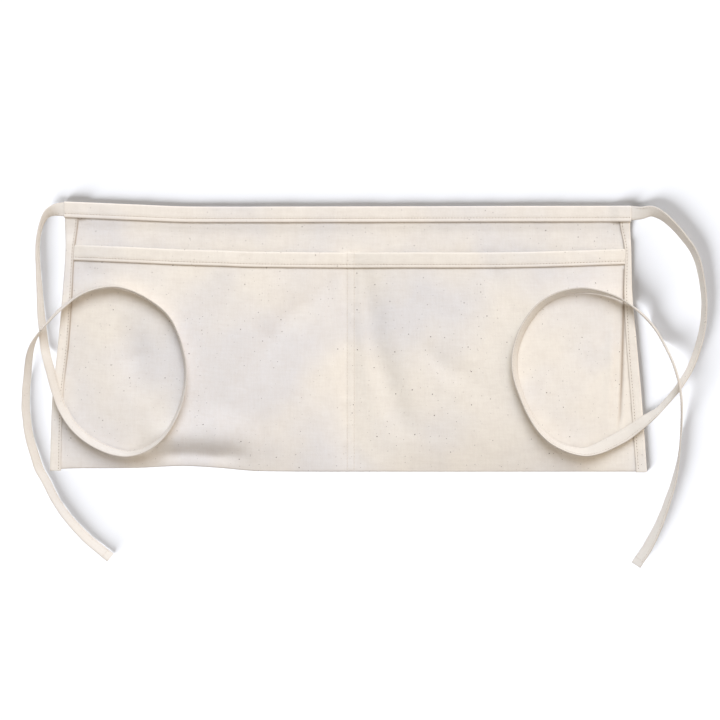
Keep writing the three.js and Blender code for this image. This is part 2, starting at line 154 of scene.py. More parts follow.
canvasCloth = {
    "name": "unbleachedCottonCanvas",
    "warm": "#F7F0E4",  # natural cotton where the light fibre shows
    "cool": "#EAE7E5",  # greyer, pinkish patches
    "patch": 0.09,  # size of the patches
    "weave": 0.0016,  # real threads are 0.6 mm apart, drawn 1.6 mm apart so that they show
    "slubLength": 6,  # a thick place in a thread is this many times as long as wide
    "relief": 0.00017,
    "fuzz": 0.0024,  # size of the raised fibre
    "mottle": 0.009,  # size of the fine mottling
    "mottleColour": "#DAD0C6",
    "thinThread": "#C9BBA8",
    # colour of the painted shade at rims, creases and the feet of the folded layers
    "paintedShadeColour": "#A08B74",
    "seeds": 0.017,  # spacing of the seed flecks
    "seedSize": 0.0006,
    "seedGroup": 0.035,
    "seedColour": "#4E3C30",
}
bindingCloth = dict(canvasCloth, name="foldedCottonBinding", warm="#F8F1E6", seeds=0.026)
tapeCloth = dict(
    canvasCloth, name="foldedCottonTape", warm="#ECE6DC", cool="#E9E5DF", seeds=0.030, weave=0.0011)
# warmer (+) and cooler (-) patches of the cloth: x, y, reach, share; the cooler spots inside the left loop
# (-0.192, -0.032) and over the bottom fold (-0.135, -0.104) are painted shade
toneAndShadeSpots = [
    (-0.089, -0.01, 0.06, -0.6), (-0.192, -0.032, 0.045, -0.6), (0.078, 0.018, 0.05, -0.45),
    (0.103, -0.08, 0.03, -0.4), (0.204, -0.03, 0.06, 0.4), (0, 0.045, 0.028, 0.4),
    (0, -0.045, 0.03, 0.35), (0.06, -0.11, 0.06, 0.25), (-0.135, -0.104, 0.022, -0.8)]

threadLook = {
    "colour": "#F2E9DC",
    # painted shade of the needle holes between the stitches
    "holeShade": "#9C8974",
    "pitch": 0.0028,
    "length": 0.0020,
    "radius": 0.00026,
    "holeRadius": 0.00036,
}


def clothMaterial(look):
    # Cotton canvas, plain woven and unbleached: matt, warm, faintly patchy, with dark seed flecks
    material, tree = newMaterial(look["name"])
    cloth = addNode(tree, "ShaderNodeUVMap", {"uv_map": "cloth"})[0]
    place = addNode(tree, "ShaderNodeTexCoord", {})["Object"]

    # Plain weave: round bumps where the threads pass over each other, uneven as spun cotton is
    axes = addNode(tree, "ShaderNodeSeparateXYZ", {0: cloth})
    threads = []
    slubs = []
    thin = 1 / look["slubLength"]
    for axis, squeeze in ((0, (1, thin, 1)), (1, (thin, 1, 1))):
        turns = addNode(tree, "ShaderNodeMath", {
            "operation": "MULTIPLY", 0: axes[axis], 1: math.pi / look["weave"]})[0]
        threads.append(addNode(tree, "ShaderNodeMath", {"operation": "SINE", 0: turns})[0])
        squeezed = addNode(tree, "ShaderNodeMapping", {"Vector": cloth, "Scale": squeeze})
        slubs.append(addNode(tree, "ShaderNodeTexNoise", {
            "Vector": squeezed[0], "Scale": 0.65 / look["weave"], "Detail": 3.0})[0])
    crossing = addNode(tree, "ShaderNodeMath", {"operation": "MULTIPLY", 0: threads[0], 1: threads[1]})
    weave = addNode(tree, "ShaderNodeMath", {"operation": "ABSOLUTE", 0: crossing[0]})[0]
    slub = addNode(tree, "ShaderNodeMath", {"operation": "ADD", 0: slubs[0], 1: slubs[1]})[0]
    fuzz = addNode(tree, "ShaderNodeTexNoise", {
        "Vector": place, "Scale": 1 / look["fuzz"], "Detail": 3.0, "Roughness": 0.65})[0]

    # Patches, mottling and the shade of single threads
    patches = addNode(tree, "ShaderNodeTexNoise", {
        "Vector": place, "Scale": 1 / look["patch"], "Detail": 2.5, "Roughness": 0.5})[0]
    # the per-point tone shifts the patches; where it is low inside the left loop and over the bottom fold it
    # paints shade
    toneAndShade = addNode(tree, "ShaderNodeAttribute", {"attribute_name": "toneAndShade"})["Fac"]
    warmth = addNode(tree, "ShaderNodeMath", {"operation": "MULTIPLY_ADD", 0: toneAndShade, 1: 0.26, 2: patches})[0]
    patchShare = addNode(tree, "ShaderNodeMapRange", {0: warmth, 1: 0.34, 2: 0.62})[0]
    colour = addNode(tree, "ShaderNodeMix", {
        "data_type": "RGBA", 0: patchShare,
        6: linearColour(look["cool"]), 7: linearColour(look["warm"])})[2]
    mottles = addNode(tree, "ShaderNodeTexNoise", {
        "Vector": place, "Scale": 1 / look["mottle"], "Detail": 5.0, "Roughness": 0.7})[0]
    mottleShare = addNode(tree, "ShaderNodeMapRange", {0: mottles, 1: 0.42, 2: 0.70, 3: 0.0, 4: 0.20})[0]
    threadShare = addNode(tree, "ShaderNodeMapRange", {0: slub, 1: 0.75, 2: 1.3, 3: 0.10, 4: 0.0})[0]
    # Painted shade: the cloth is darkened at its rims, along its creases and at the feet of the folded
    # layers
    paintedShade = addNode(tree, "ShaderNodeAttribute", {"attribute_name": "paintedShade"})["Fac"]
    layers = [(mottleShare, "mottleColour"), (threadShare, "thinThread"), (paintedShade, "paintedShadeColour")]

    # Seed flecks: dark specks of husk left in the yarn, in loose groups, a few large and many small
    groups = addNode(tree, "ShaderNodeTexNoise", {
        "Vector": place, "Scale": 1 / look["seedGroup"], "Detail": 1.0})[0]
    grouped = addNode(tree, "ShaderNodeMapRange", {0: groups, 1: 0.36, 2: 0.56})[0]
    for closer, smaller, rare, strength in ((1, 1, 0.15, 1.0), (0.45, 0.7, 0.35, 0.7)):
        spacing = look["seeds"] * closer
        size = look["seedSize"] * smaller
        cells = addNode(tree, "ShaderNodeTexVoronoi", {
            "voronoi_dimensions": "2D", "Vector": cloth, "Scale": 1 / spacing})
        spread = addNode(tree, "ShaderNodeMath", {
            "operation": "MULTIPLY_ADD", 0: cells["Distance"], 1: -2.2 * spacing / size, 2: 2.2,
            "use_clamp": True})[0]
        kinds = addNode(tree, "ShaderNodeSeparateColor", {0: cells["Color"]})
        picked = addNode(tree, "ShaderNodeMapRange", {0: kinds[0], 1: rare, 2: 1.0, 3: 0.0, 4: strength})[0]
        fleck = addNode(tree, "ShaderNodeMath", {"operation": "MULTIPLY", 0: spread, 1: picked})[0]
        fleck = addNode(tree, "ShaderNodeMath", {"operation": "MULTIPLY", 0: fleck, 1: grouped})[0]
        layers.append((fleck, "seedColour"))
    for share, shade in layers:
        colour = addNode(tree, "ShaderNodeMix", {
            "data_type": "RGBA", 0: share, 6: colour, 7: linearColour(look[shade])})[2]

    height = addNode(tree, "ShaderNodeMath", {"operation": "MULTIPLY_ADD", 0: weave, 1: 0.03, 2: slub})[0]
    height = addNode(tree, "ShaderNodeMath", {"operation": "MULTIPLY_ADD", 0: fuzz, 1: 0.9, 2: height})[0]
    bump = addNode(tree, "ShaderNodeBump", {"Height": height, "Strength": 0.55, "Distance": look["relief"]})
    shader = addNode(tree, "ShaderNodeBsdfPrincipled", {
        "Base Color": colour, "Normal": bump[0], "Roughness": 0.92, "Specular IOR Level": 0.18,
        "Sheen Weight": 0.12, "Sheen Roughness": 0.6})
    addNode(tree, "ShaderNodeOutputMaterial", {"Surface": shader[0]})
    return material


def plainCotton(name, hexCode, roughness):
    # Spun cotton of one colour: matt, with fibres that catch the light
    material, tree = newMaterial(name)
    place = addNode(tree, "ShaderNodeTexCoord", {})["Object"]
    fibre = addNode(tree, "ShaderNodeTexNoise", {"Vector": place, "Scale": 900.0, "Detail": 2.0})[0]
    colour = linearColour(hexCode)
    darker = [channel * 0.78 for channel in colour[:3]] + [1.0]
    shade = addNode(tree, "ShaderNodeMix", {"data_type": "RGBA", 0: fibre, 6: colour, 7: darker})[2]
    bump = addNode(tree, "ShaderNodeBump", {"Height": fibre, "Strength": 0.4, "Distance": 0.0001})[0]
    shader = addNode(tree, "ShaderNodeBsdfPrincipled", {
        "Base Color": shade, "Normal": bump, "Roughness": roughness, "Specular IOR Level": 0.2})
    addNode(tree, "ShaderNodeOutputMaterial", {"Surface": shader[0]})
    return material


canvasMaterial = clothMaterial(canvasCloth)
bindingMaterial = clothMaterial(bindingCloth)
tapeMaterial = clothMaterial(tapeCloth)
threadMaterial = plainCotton("twistedCottonThread", threadLook["colour"], 0.75)  # dull, a little lighter
# Painted shade: small dark discs between the stitches stand for the shadow in the needle holes
holeShadeMaterial = plainCotton("needleHoleShade", threadLook["holeShade"], 1.0)  # the dark pricks between stitches
print("materials ready")

apron = {
    "width": 0.537,
    "height": 0.2385,
    "pocketHeight": 0.197,
    "pocketBulge": 0.012,
    "bellyRoundness": 1.5,
    "seamPlace": 0.002,
    "seamWidth": 0.007,
    "bandWidth": 0.014,
    "hemWidth": 0.0135,
    "sideHemWidth": 0.0095,
    "topLift": 0.0044,
    "mouthLift": 0.0069,
    "bottomLift": 0.0051,
    "cloth": 0.0012,
    "gap": 0.0003,
    "foldRadius": 0.001,
    "liftRun": 0.010,
}
cloth = apron["cloth"]
layer = cloth + apron["gap"]
bottomLine = -(apron["height"] + apron["topLift"]) / 2
mouthLine = bottomLine + apron["pocketHeight"]
topLine = bottomLine + apron["height"]
footLift = 0.0006  # the rounded foot of a fold stands on the floor with its skin
seamLeft = apron["seamPlace"] - apron["seamWidth"] / 2
seamRight = apron["seamPlace"] + apron["seamWidth"] / 2

# share along the waist, then the bottom, mouth and top edges as shares of their lifts
edgeRows = np.array([
    (0, 0.3, 1.1, 1), (0.03, 0.55, 1.05, 1), (0.14, 0.64, 0.67, 0.45), (0.22, 1, 0.38, 0.05),
    (0.28, 0.7, 0.24, 0), (0.35, 0.1, 0.07, 0), (0.6, 0, 0, 0.06), (0.75, 0, 0, 0.12),
    (0.85, 0, 0.16, 0.14), (1, 0, 0.6, 0.16)])
# share up the apron, half widths left and right, hem widths left and right
sideRows = np.array([
    (0, 1, 1, 1, 1), (0.28, 0.992, 0.982, 0.97, 1), (0.48, 0.973, 0.966, 1, 0.95),
    (0.67, 0.958, 0.951, 0.9, 0.75), (0.84, 0.948, 0.947, 0.85, 0.62), (0.93, 0.95, 0.944, 1.2, 0.95),
    (1, 0.95, 0.944, 1.35, 1)])
# share up the pocket, rise of the sheet
riseRows = np.array([
    (0, 0.06), (0.05, 0.3), (0.15, 0.66), (0.35, 0.95), (0.55, 1), (0.8, 0.9), (1, 0.8)])
# soft folds of the pocket sheet: reach, then x, y and rise of the points along each
pocketFolds = [
    # slant beside the seam
    (0.011, [(0.005, 0.062, -0.0008), (0.022, 0.0033, -0.003), (0.0347, -0.0363, -0.0036),
             (0.044, -0.07, -0.0026), (0.05, -0.098, 0)]),
    # slant left of the seam
    (0.012, [(-0.013, 0.058, 0), (-0.05, 0.0213, -0.0034), (-0.068, -0.003, -0.0034),
             (-0.101, -0.06, 0)]),
    # slant across the right pocket
    (0.011, [(0.056, -0.01, 0), (0.085, -0.027, -0.002), (0.128, -0.048, 0)]),
    # dent inside the left loop
    (0.015, [(-0.203, 0.018, 0), (-0.194, -0.02, -0.0044), (-0.183, -0.06, 0)]),
    # roll above the bottom fold, and the dent under it
    (0.016, [(-0.185, -0.09, 0), (-0.159, -0.0905, 0.0066), (-0.14, -0.089, 0.0052),
             (-0.118, -0.09, 0.0066), (-0.078, -0.087, 0)]),
    (0.0095, [(-0.18, -0.114, 0), (-0.156, -0.1125, -0.0085), (-0.138, -0.111, -0.0066),
              (-0.118, -0.112, -0.0085), (-0.088, -0.11, 0)]),
    # corner of the left pocket
    (0.008, [(-0.238, 0.06, -0.0016), (-0.208, 0.053, 0)]),
    # roll beside the right crease
    (0.0045, [(0.24, 0.05, 0), (0.239, -0.02, 0.0018), (0.234, -0.09, 0)]),
    # under the pocket's mouth
    (0.01, [(0.125, 0.062, -0.001), (0.15, 0.025, 0)]),
    (0.012, [(-0.115, 0.062, 0.0012), (-0.125, 0.025, 0)]),
]
# the sharp crease beside the right hem: y, x, depth, shade
creaseRows = np.array([
    (-0.086, 0.242, 0, 0), (-0.0696, 0.244, 0.0016, 0.4), (-0.04, 0.2455, 0.0024, 0.75),
    (-0.01, 0.2464, 0.0022, 0.8), (0.025, 0.2473, 0.0012, 0.8), (0.06, 0.2478, 0.0004, 0.6)])

# how the pocket sheet lies and is worked
pocketLook = {
    "waves": [(0.0006, 0.055, 1), (0.00028, 0.024, 2), (0.0001, 0.010, 3)],  # height, size, seed
    "bend": 0.004,  # the folds wander this far from their straight lines
    "bendSize": 0.045,
    "creaseReach": 0.0015,
    "sidePucker": 0.00032,  # puckers that run in from the stitched sides and seam
    "bottomPucker": 0.00020,
    "seamDepth": 0.00018,
    "seamRow": 0.0004,  # the seam's two rows of stitches stand this far inside its sides
    "seamPrick": 0.45,  # its needle holes are smaller than threadLook's
    "seamStep": 0.0009,
    "step": 0.0019,
    "fineStep": 0.00065,  # the columns stand closer beside the right hem, where the crease runs
    "fineWidth": 0.027,
    "mouthShade": (0.35, 0.0009),  # how dark, and how far it reaches, under the pocket hem
    "bottomShade": (0.16, 0.0012),
    "sideShade": (0.16, 0.0010),
}


def smoothTable(rows, at, column):
    keys = rows[:, 0]
    values = rows[:, column]
    index = np.arange(len(keys))
    before = np.maximum(index - 1, 0)
    after = np.minimum(index + 1, len(keys) - 1)
    return smoothCurve(keys, values, (values[after] - values[before]) / (keys[after] - keys[before]), at)


def smoothCurve(keys, values, slopes, at):
    # Cubic curve through the values, with the given slopes there
    i = np.clip(np.searchsorted(keys, at) - 1, 0, len(keys) - 2)
    span = keys[i + 1] - keys[i]
    t = np.clip((at - keys[i]) / span, 0, 1)
    rest = 1 - t
    ends = rest * rest * (1 + 2 * t) * values[i] + t * t * (3 - 2 * t) * values[i + 1]
    return ends + span * t * rest * (rest * slopes[i] - t * slopes[i + 1])


def smoothStep(value, low, high):
    t = np.clip((value - low) / (high - low), 0, 1)
    return t * t * (3 - 2 * t)


def bottomEdge(x):
    return bottomLine + apron["bottomLift"] * smoothTable(edgeRows, x / apron["width"] + 0.5, 1)


def mouthEdge(x):
    lift = apron["mouthLift"] * smoothTable(edgeRows, x / apron["width"] + 0.5, 2)
    return mouthLine + lift


def topEdge(x):
    return topLine + apron["topLift"] * smoothTable(edgeRows, x / apron["width"] + 0.5, 3)


def sideShare(y, column):
    return smoothTable(sideRows, (y - bottomLine) / apron["height"], column)


def leftEdge(y):
    return -apron["width"] / 2 * sideShare(y, 1)


def rightEdge(y):
    return apron["width"] / 2 * sideShare(y, 2)


def leftHemInside(y):
    return leftEdge(y) + apron["sideHemWidth"] * sideShare(y, 3)


def rightHemInside(y):
    return rightEdge(y) - apron["sideHemWidth"] * sideShare(y, 4)


def softNoise(x, y, size, seed):
    # Smooth random hills from -1 to 1, about `size` apart
    hills = np.random.default_rng(seed).uniform(-1, 1, (64, 64))
    u = x / size + 31.7
    v = y / size + 17.3
    i = np.floor(u).astype(int)
    j = np.floor(v).astype(int)
    u = u - i
    v = v - j
    u = u ** 3 * (u * (6 * u - 15) + 10)
    v = v ** 3 * (v * (6 * v - 15) + 10)
    low, high = (hills[i % 64, row % 64] * (1 - u) + hills[(i + 1) % 64, row % 64] * u
                 for row in (j, j + 1))
    return low * (1 - v) + high * v


def softWaves(x, y, rows):
    return sum(height * softNoise(x, y, size, seed) for height, size, seed in rows)


def bandLift(x, y):
    foot = topEdge(x) - apron["bandWidth"] - apron["gap"]
    return layer * smoothStep(y, foot - apron["liftRun"], foot)


def backMiddle(x, y):
    return cloth / 2 + bandLift(x, y)


def foldHeight(x, y):
    height = np.zeros_like(x + y)
    bendX = pocketLook["bend"] * softNoise(x, y, pocketLook["bendSize"], 5)
    bendY = pocketLook["bend"] * softNoise(x, y, pocketLook["bendSize"], 6)
    for reach, points in pocketFolds:
        nearest = np.full_like(height, 1e3)
        rise = np.zeros_like(height)
        for (x1, y1, rise1), (x2, y2, rise2) in zip(points, points[1:]):
            fromX = x + bendX - x1
            fromY = y + bendY - y1
            dx, dy = x2 - x1, y2 - y1
            share = np.clip((fromX * dx + fromY * dy) / (dx * dx + dy * dy), 0, 1)
            away = np.hypot(fromX - share * dx, fromY - share * dy) / reach
            rise = np.where(away < nearest, rise1 + share * (rise2 - rise1), rise)
            nearest = np.minimum(nearest, away)
        height = height + rise * np.exp(-nearest * nearest)
    return height


def creaseAt(x, y, column):
    # Depth (2) or shade (3) of the sharp crease
    away = (x - np.interp(y, creaseRows[:, 0], creaseRows[:, 1])) / pocketLook["creaseReach"]
    return np.interp(y, creaseRows[:, 0], creaseRows[:, column], left=0, right=0) * np.exp(-away * away)


def pocketMiddle(x, y):
    fromHem = np.where(x < apron["seamPlace"], x - leftHemInside(y), rightHemInside(y) - x)
    fromSeam = np.abs(x - apron["seamPlace"]) - apron["seamWidth"] / 2
    across = np.clip(fromHem / (fromHem + fromSeam), 0, 1)
    belly = 1 - (1 - 4 * across * (1 - across)) ** apron["bellyRoundness"]
    bottom = bottomEdge(x)
    up = np.clip((y - bottom) / (mouthEdge(x) - bottom), 0, 1)
    rise = apron["pocketBulge"] * smoothTable(riseRows, up, 1)
    free = smoothStep(belly, 0, 0.35) * smoothStep(up, 0, 0.1)
    waves = softWaves(x, y, pocketLook["waves"])
    height = rise * belly + free * (foldHeight(x, y) + waves) - creaseAt(x, y, 2)
    nearSide = np.exp(-np.maximum(fromHem, 0) / 0.008) + np.exp(-np.maximum(fromSeam, 0) / 0.007)
    nearSide = nearSide * smoothStep(up, 0, 0.04)
    nearBottom = np.exp(-np.maximum(y - bottom, 0) / 0.006)
    height = height + pocketLook["sidePucker"] * nearSide * softNoise(y, x, 0.0075, 8)
    height = height + pocketLook["bottomPucker"] * nearBottom * softNoise(x, y, 0.011, 9)
    return layer + cloth / 2 + np.maximum(height, 0)


def pocketHemMiddle(x, y):
    return pocketMiddle(x, y) + layer


def sideHemMiddle(x, y):
    overPocket = 1 - smoothStep(y, mouthEdge(x) + apron["gap"], mouthEdge(x) + apron["liftRun"])
    return backMiddle(x, y) + layer + layer * overPocket


def waistbandMiddle(x, y):
    inside = np.minimum(x - leftHemInside(y), rightHemInside(y) - x)
    overHem = 1 - smoothStep(inside, 0, apron["liftRun"])
    return cloth / 2 + 2 * layer + layer * overHem


def pressedFold(edge, inward, height, foot, steps=7):
    # The middle of the cloth round a pressed fold and down to its foot: across and height per step
    radius = np.minimum(apron["foldRadius"], 0.8 * (height - foot))
    across = []
    heights = []
    for turn in np.radians(np.linspace(90, 0, steps)):
        across.append(edge + inward * (cloth / 2 + radius * (1 - np.cos(turn))))
        heights.append(height - radius * (1 - np.sin(turn)))
    for share in (0.5, 1.0):
        across.append(edge + inward * cloth / 2 + 0 * radius)
        heights.append(height - radius + share * (foot - height + radius))
    return np.stack(across, -1), np.stack(heights, -1)


def normalised(vectors):
    return vectors / np.maximum(np.linalg.norm(vectors, axis=-1, keepdims=True), 1e-12)


def toneAndShadeAt(x, y, warmth):
    toneAndShade = np.full_like(x, warmth)
    for spotX, spotY, reach, share in toneAndShadeSpots:
        away = np.hypot(x - spotX, y - spotY) / reach
        toneAndShade = toneAndShade + share * np.exp(-away * away)
    return toneAndShade


def addPiece(name, mesh, materials):
    for material in materials:
        mesh.materials.append(material)
    mesh.polygons.foreach_set("use_smooth", np.ones(len(mesh.polygons), dtype=bool))
    mesh.update()
    print(name, len(mesh.polygons) * 2, "triangles")
    return addObject(name, mesh)


def closedMesh(name, rings, caps, ringUv, ringPaintedShade, material, warmth=0.0):
    # A closed skin through equal rings of points: two smaller rings round off each end,
    # and strips of quads close it
    rings = np.concatenate([caps[0], rings, caps[1]])
    ringUv, ringPaintedShade = (np.concatenate([rows[:1], rows[:1], rows, rows[-1:], rows[-1:]])
                        for rows in (ringUv, ringPaintedShade))
    stations, ring = rings.shape[:2]
    s = np.arange(stations - 1)[:, None] * ring
    i = np.arange(ring)[None, :]
    j = (i + 1) % ring
    sides = np.stack([s + i, s + j, s + ring + j, s + ring + i], -1).reshape(-1, 4)
    half = ring // 2
    k = np.arange(half - 1)
    start = np.stack([k, ring - 1 - k, ring - 2 - k, k + 1], -1)
    last = (stations - 1) * ring
    end = np.stack([last + k, last + k + 1, last + ring - 2 - k, last + ring - 1 - k], -1)
    faces = np.concatenate([sides, start, end])
    points = rings.reshape(-1, 3)
    a, b, c, d = (points[faces[:, n]] for n in range(4))
    volume = np.einsum("ij,ij->", a, np.cross(b, c)) + np.einsum("ij,ij->", a, np.cross(c, d))
    if volume < 0:
        faces = faces[:, ::-1]
    mesh = bpy.data.meshes.new(name)
    mesh.from_pydata(points.tolist(), [], faces.tolist())
    layerUv = mesh.uv_layers.new(name="cloth")
    layerUv.data.foreach_set("uv", ringUv.reshape(-1, 2)[faces.ravel()].astype(np.float32).ravel())
    # each point carries its painted shade and its tone
    for layerName, values in (("paintedShade", ringPaintedShade), ("toneAndShade", toneAndShadeAt(points[:, 0], points[:, 1], warmth))):
        attribute = mesh.attributes.new(layerName, "FLOAT", "POINT")
        attribute.data.foreach_set("value", values.astype(np.float32).ravel())
    return addPiece(name, mesh, [material])


def clothPiece(name, stations, material, paintedShadeRows=None, warmth=0.0):
    # A sheet of cloth from the rows of points in its middle, with rounded rims
    middle = np.array(stations)
    along = normalised(np.gradient(middle, axis=0))
    across = normalised(np.gradient(middle, axis=1))
    normal = normalised(np.cross(along, across))
    if normal[len(normal) // 2, 0, 2] < 0:
        normal = -normal
    half = cloth / 2
    over = middle + normal * half
    under = middle - normal * half
    lean = math.radians(38)

    def rim(column, outward, up):
        out = outward * half * math.cos(lean)
        return middle[:, column] + out + up * normal[:, column] * half * math.sin(lean)

    low, high = (rim(0, -across[:, 0], up)[:, None] for up in (-1, 1))
    endHigh, endLow = (rim(-1, across[:, -1], up)[:, None] for up in (1, -1))
    rings = np.concatenate([high, over, endHigh, endLow, under[:, ::-1], low], 1)

    steps = np.linalg.norm(np.diff(middle, axis=0), axis=-1).mean(1)
    run = np.concatenate([[0], np.cumsum(steps)])
    drop = np.linalg.norm(np.diff(middle, axis=1), axis=-1)
    drop = np.concatenate([np.zeros((len(middle), 1)), np.cumsum(drop, 1)], 1)
    uv = np.stack([np.broadcast_to(run[:, None], drop.shape), drop], -1)
    # painted shade along the sheet, none where no rows are given
    shade = np.array(paintedShadeRows) if paintedShadeRows else np.zeros(middle.shape[:2])

    def aroundRing(values):
        start = values[:, :1]
        end = values[:, -1:]
        return np.concatenate([start, values, end, end, values[:, ::-1], start], 1)

    def endRings(station, outward):
        spine = aroundRing(middle)[station]
        shift = aroundRing(outward[None])[0] * half
        rounded = []
        for turn in (40, 72):
            angle = math.radians(turn)
            rounded.append(spine + (rings[station] - spine) * math.cos(angle) + shift * math.sin(angle))
        return rounded

    caps = endRings(0, -along[0])[::-1], endRings(-1, along[-1])
    return closedMesh(name, rings, caps, aroundRing(uv), aroundRing(shade), material, warmth)


def groove(away, depth=0.00034, width=0.0011):
    # Cloth drawn down along a row of stitches
    return -depth * np.exp(-(away / width) ** 2)


def pucker(run, seed, height=0.00010):
    # Small swellings from stitch to stitch, never quite even
    beat = np.cos(2 * math.pi * run / threadLook["pitch"])
    return height * beat * (0.7 + 0.5 * softNoise(run, 0 * run, 0.018, seed))


def stitchParts(path, up, holeRadius):
    # Stitches and needle holes along a line of points: `up` is the cloth's outward direction there
    steps = np.linalg.norm(np.diff(path, axis=0), axis=1)
    run = np.concatenate([[0], np.cumsum(steps)])
    count = max(int(run[-1] / threadLook["pitch"]), 1)
    places = (np.arange(count) + 0.5) * run[-1] / count
    holes = np.arange(count + 1) * run[-1] / count

    def at(values, runs):
        return np.stack([np.interp(runs, run, values[:, axis]) for axis in range(3)], -1)

    tangent = normalised(np.gradient(path, axis=0))
    parts = []
    profile = ((-1.0, 0.30), (-0.72, 0.80), (0.0, 1.0), (0.72, 0.80), (1.0, 0.30))  # along, girth
    turns = np.arange(6) * math.pi / 3
    for centres, isHole in ((places, False), (holes, True)):
        middle = at(path, centres)
        along = normalised(at(tangent, centres))
        outward = normalised(at(up, centres))
        beside = normalised(np.cross(outward, along))
        outward = np.cross(along, beside)
        points = []
        # the needle holes are small dark discs that carry the painted shade
        if isHole:
            for rise in (-0.00012, 0.00007):
                for turn in turns:
                    points.append(middle + outward * rise + holeRadius * (
                        along * math.cos(turn) + beside * math.sin(turn)))
            faces = [(0, 1, 2, 3), (0, 3, 4, 5), (9, 8, 7, 6), (11, 10, 9, 6)]
            faces += [(k, (k + 1) % 6, 6 + (k + 1) % 6, 6 + k)[::-1] for k in range(6)]
        else:
            for step, girth in profile:
                for turn in turns:
                    rise = threadLook["radius"] * (girth * math.sin(turn) + 0.7 - 1.1 * step * step)
                    points.append(middle + along * (step * threadLook["length"] / 2) + outward * rise
                                  + beside * (threadLook["radius"] * girth * math.cos(turn)))
            faces = [(0, 1, 2, 3), (0, 3, 4, 5), (27, 26, 25, 24), (29, 28, 27, 24)]
            for first in (0, 6, 12, 18):
                faces += [(first + k, first + 6 + k, first + 6 + (k + 1) % 6, first + (k + 1) % 6)
                          for k in range(6)]
        points = np.stack(points, 1)
        faces = np.array(faces)
        offsets = np.arange(len(centres))[:, None, None] * points.shape[1]
        parts.append((points.reshape(-1, 3), (faces[None] + offsets).reshape(-1, 4), int(isHole)))
    return parts


def stitchPiece(name, rows, prick=1.0):
    # `prick` is the size of the needle holes, as a share of threadLook's
    points = []
    faces = []
    kinds = []
    total = 0
    for path, up in rows:
        for part, quads, kind in stitchParts(path, up, prick * threadLook["holeRadius"]):
            points.append(part)
            faces.append(quads + total)
            kinds.append(np.full(len(quads), kind))
            total += len(part)
    mesh = bpy.data.meshes.new(name)
    mesh.from_pydata(np.concatenate(points).tolist(), [], np.concatenate(faces).tolist())
    mesh.polygons.foreach_set("material_index", np.concatenate(kinds).astype(np.int32))
    piece = addPiece(name, mesh, [threadMaterial, holeShadeMaterial])
    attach(piece, "root")
    return piece


def finishPiece(piece, node):
    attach(piece, "root")
    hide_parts(node)


treeCache = {}


def castDown(piece, x, y):
    # The piece's highest point at a place, and the direction of its surface
    if piece.name not in treeCache:
        corners = [vertex.co.copy() for vertex in piece.data.vertices]
        polygons = [tuple(face.vertices) for face in piece.data.polygons]
        treeCache[piece.name] = BVHTree.FromPolygons(corners, polygons)
    return treeCache[piece.name].ray_cast(Vector((x, y, 0.2)), Vector((0, 0, -1)))[:2]


def surfaceRow(pieces, x, y):
    # Points on top of the pieces, with the outward direction there
    points = []
    ups = []
    for px, py in zip(x, y):
        hits = [hit for hit in (castDown(piece, px, py) for piece in pieces) if hit[0] is not None]
        if hits:
            spot, normal = max(hits, key=lambda hit: hit[0].z)
            points.append(spot)
            ups.append(normal if normal.z > 0 else -normal)
    return np.array(points), np.array(ups)


def columnsBetween(leftOf, rightOf, step):
    # X of each column, for any y, between two side lines
    width = float(rightOf(0.0) - leftOf(0.0))
    count = max(int(round(width / step)), 2)
    return [(lambda y, share=i / count: leftOf(y) * (1 - share) + rightOf(y) * share)
            for i in range(count + 1)]


def panelColumns(step, fineStep):
    def fineEdge(y):
        return rightEdge(y) - pocketLook["fineWidth"]

    left = columnsBetween(lambda y: leftEdge(y) + layer, lambda y: seamLeft + 0 * y, step)
    seam = columnsBetween(lambda y: seamLeft + 0 * y, lambda y: seamRight + 0 * y,
                          pocketLook["seamStep"])
    right = columnsBetween(lambda y: seamRight + 0 * y, fineEdge, step)
    fine = columnsBetween(fineEdge, lambda y: rightEdge(y) - layer, fineStep)
    return left + seam[1:-1] + right + fine[1:]


def seamGroove(x, y):
    # The two rows of stitches that divide the pockets
    depth = pocketLook["seamDepth"]
    row = pocketLook["seamRow"]
    return groove(x - seamLeft - row, depth) + groove(x - seamRight + row, depth)


backLook = {
    "slack": 0.00035,  # it stands this far off the floor where nothing holds it
    "waves": [(0.0004, 0.05, 21), (0.00015, 0.016, 22)],
    "step": 0.003,
}


def makeBackPanel():
    stations = []
    for columnX in panelColumns(backLook["step"], backLook["step"]):
        bottom = bottomEdge(columnX(bottomLine)) + layer
        top = topEdge(columnX(topLine)) - layer
        y = np.linspace(bottom, top, int(apron["height"] / backLook["step"]))
        x = columnX(y)
        free = smoothStep(top - y, apron["bandWidth"], 0.03) * smoothStep(y, 0.070, 0.080)
        z = backMiddle(x, y) + free * np.maximum(backLook["slack"] + softWaves(x, y, backLook["waves"]), 0)
        stations.append(np.stack([x, y, z], -1))
    piece = clothPiece("backPanelCanvas", stations, canvasMaterial)
    finishPiece(piece, "back_panel")
    return piece


